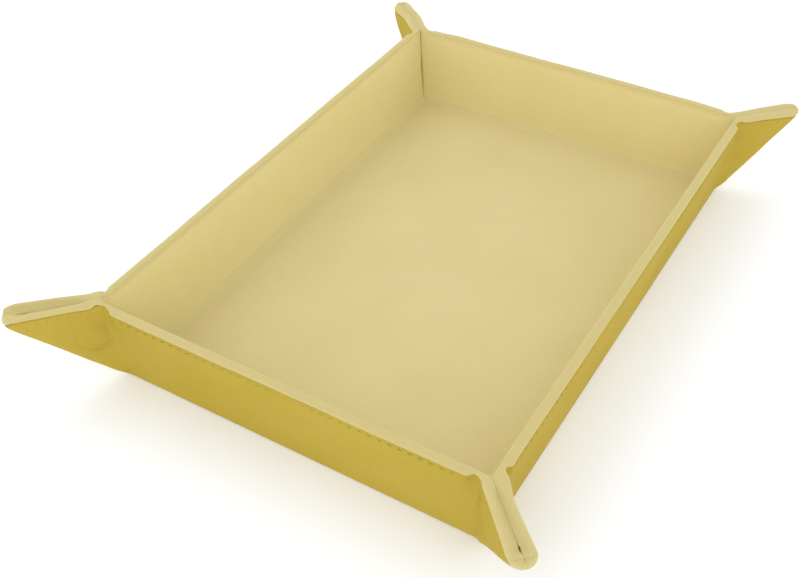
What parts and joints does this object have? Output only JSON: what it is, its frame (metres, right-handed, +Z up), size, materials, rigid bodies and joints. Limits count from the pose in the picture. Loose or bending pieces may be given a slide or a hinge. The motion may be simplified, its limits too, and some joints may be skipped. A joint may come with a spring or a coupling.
{
  "type": "folding dice tray",
  "caption": "Rectangular leatherette dice tray with a pale velvet lining; its walls fold flat, and magnets in the pinched corner ears hold them up.",
  "frame": {"origin": "centre of the underside, on the table", "axes": "+X along the short walls, +Y along the long walls, +Z up out of the open tray"},
  "size_m": [0.2004, 0.2704, 0.0373],
  "materials": {
    "leatherette": "satin",
    "velvet": "matte",
    "fibreboard": "matte",
    "filler": "matte",
    "magnet": "polished",
    "thread": "satin"
  },
  "bodies": {
    "base": {"base_board": "fibreboard", "base_cover": "leatherette", "base_lining": "velvet"},
    "right_wall": {"right_wall_board": "fibreboard", "right_wall_cover": "leatherette", "right_wall_lining": "velvet", "right_wall_thread": "thread"},
    "left_wall": {"left_wall_board": "fibreboard", "left_wall_cover": "leatherette", "left_wall_lining": "velvet", "left_wall_thread": "thread"},
    "front_wall": {"front_wall_board": "fibreboard", "front_wall_cover": "leatherette", "front_wall_lining": "velvet", "front_wall_thread": "thread"},
    "back_wall": {"back_wall_board": "fibreboard", "back_wall_cover": "leatherette", "back_wall_lining": "velvet", "back_wall_thread": "thread"},
    "front_right_ear_right_half": {"front_right_ear_right_cover": "leatherette", "front_right_ear_right_lining": "velvet", "front_right_ear_right_magnet": "magnet", "front_right_ear_right_pad": "filler", "front_right_ear_right_thread": "thread"},
    "back_right_ear_right_half": {"back_right_ear_right_cover": "leatherette", "back_right_ear_right_lining": "velvet", "back_right_ear_right_magnet": "magnet", "back_right_ear_right_pad": "filler", "back_right_ear_right_thread": "thread"},
    "back_left_ear_left_half": {"back_left_ear_left_cover": "leatherette", "back_left_ear_left_lining": "velvet", "back_left_ear_left_magnet": "magnet", "back_left_ear_left_pad": "filler", "back_left_ear_left_thread": "thread"},
    "front_left_ear_left_half": {"front_left_ear_left_cover": "leatherette", "front_left_ear_left_lining": "velvet", "front_left_ear_left_magnet": "magnet", "front_left_ear_left_pad": "filler", "front_left_ear_left_thread": "thread"},
    "front_left_ear_front_half": {"front_left_ear_front_cover": "leatherette", "front_left_ear_front_lining": "velvet", "front_left_ear_front_magnet": "magnet", "front_left_ear_front_pad": "filler", "front_left_ear_front_thread": "thread"},
    "front_right_ear_front_half": {"front_right_ear_front_cover": "leatherette", "front_right_ear_front_lining": "velvet", "front_right_ear_front_magnet": "magnet", "front_right_ear_front_pad": "filler", "front_right_ear_front_thread": "thread"},
    "back_right_ear_back_half": {"back_right_ear_back_cover": "leatherette", "back_right_ear_back_lining": "velvet", "back_right_ear_back_magnet": "magnet", "back_right_ear_back_pad": "filler", "back_right_ear_back_thread": "thread"},
    "back_left_ear_back_half": {"back_left_ear_back_cover": "leatherette", "back_left_ear_back_lining": "velvet", "back_left_ear_back_magnet": "magnet", "back_left_ear_back_pad": "filler", "back_left_ear_back_thread": "thread"}
  },
  "joints": [
    {"name": "right_wall_fold", "type": "hinge", "parent": "base", "child": "right_wall", "pos_m": [0.0735, 0, 0.004], "axis": [0, 1, 0], "range_deg": [0, 82]},
    {"name": "left_wall_fold", "type": "hinge", "parent": "base", "child": "left_wall", "pos_m": [-0.0735, 0, 0.004], "axis": [0, -1, 0], "range_deg": [0, 82]},
    {"name": "front_wall_fold", "type": "hinge", "parent": "base", "child": "front_wall", "pos_m": [0, -0.1085, 0.004], "axis": [1, 0, 0], "range_deg": [0, 82]},
    {"name": "back_wall_fold", "type": "hinge", "parent": "base", "child": "back_wall", "pos_m": [0, 0.1085, 0.004], "axis": [-1, 0, 0], "range_deg": [0, 82]},
    {"name": "front_right_ear_right_crease", "type": "hinge", "parent": "right_wall", "child": "front_right_ear_right_half", "pos_m": [0.0735, -0.1085, 0.004], "axis": [-0.1378, 0.1378, -0.9808], "range_deg": [0, 45.56]},
    {"name": "back_right_ear_right_crease", "type": "hinge", "parent": "right_wall", "child": "back_right_ear_right_half", "pos_m": [0.0735, 0.1085, 0.004], "axis": [0.1378, 0.1378, 0.9808], "range_deg": [0, 45.56]},
    {"name": "back_left_ear_left_crease", "type": "hinge", "parent": "left_wall", "child": "back_left_ear_left_half", "pos_m": [-0.0735, 0.1085, 0.004], "axis": [0.1378, -0.1378, -0.9808], "range_deg": [0, 45.56]},
    {"name": "front_left_ear_left_crease", "type": "hinge", "parent": "left_wall", "child": "front_left_ear_left_half", "pos_m": [-0.0735, -0.1085, 0.004], "axis": [-0.1378, -0.1378, 0.9808], "range_deg": [0, 45.56]},
    {"name": "front_left_ear_front_crease", "type": "hinge", "parent": "front_wall", "child": "front_left_ear_front_half", "pos_m": [-0.0735, -0.1085, 0.004], "axis": [0.1378, 0.1378, -0.9808], "range_deg": [0, 45.56]},
    {"name": "front_right_ear_front_crease", "type": "hinge", "parent": "front_wall", "child": "front_right_ear_front_half", "pos_m": [0.0735, -0.1085, 0.004], "axis": [0.1378, -0.1378, 0.9808], "range_deg": [0, 45.56]},
    {"name": "back_right_ear_back_crease", "type": "hinge", "parent": "back_wall", "child": "back_right_ear_back_half", "pos_m": [0.0735, 0.1085, 0.004], "axis": [-0.1378, -0.1378, -0.9808], "range_deg": [0, 45.56]},
    {"name": "back_left_ear_back_crease", "type": "hinge", "parent": "back_wall", "child": "back_left_ear_back_half", "pos_m": [-0.0735, 0.1085, 0.004], "axis": [-0.1378, 0.1378, 0.9808], "range_deg": [0, 45.56]}
  ],
  "couplings": [
    {"joint": "left_wall_fold", "follows": "right_wall_fold", "ratio": 1},
    {"joint": "front_wall_fold", "follows": "right_wall_fold", "ratio": 1},
    {"joint": "back_wall_fold", "follows": "right_wall_fold", "ratio": 1},
    {"joint": "front_right_ear_right_crease", "follows": "right_wall_fold", "ratio": 0.55555},
    {"joint": "back_right_ear_right_crease", "follows": "right_wall_fold", "ratio": 0.55555},
    {"joint": "back_left_ear_left_crease", "follows": "right_wall_fold", "ratio": 0.55555},
    {"joint": "front_left_ear_left_crease", "follows": "right_wall_fold", "ratio": 0.55555},
    {"joint": "front_left_ear_front_crease", "follows": "right_wall_fold", "ratio": 0.55555},
    {"joint": "front_right_ear_front_crease", "follows": "right_wall_fold", "ratio": 0.55555},
    {"joint": "back_right_ear_back_crease", "follows": "right_wall_fold", "ratio": 0.55555},
    {"joint": "back_left_ear_back_crease", "follows": "right_wall_fold", "ratio": 0.55555}
  ]
}
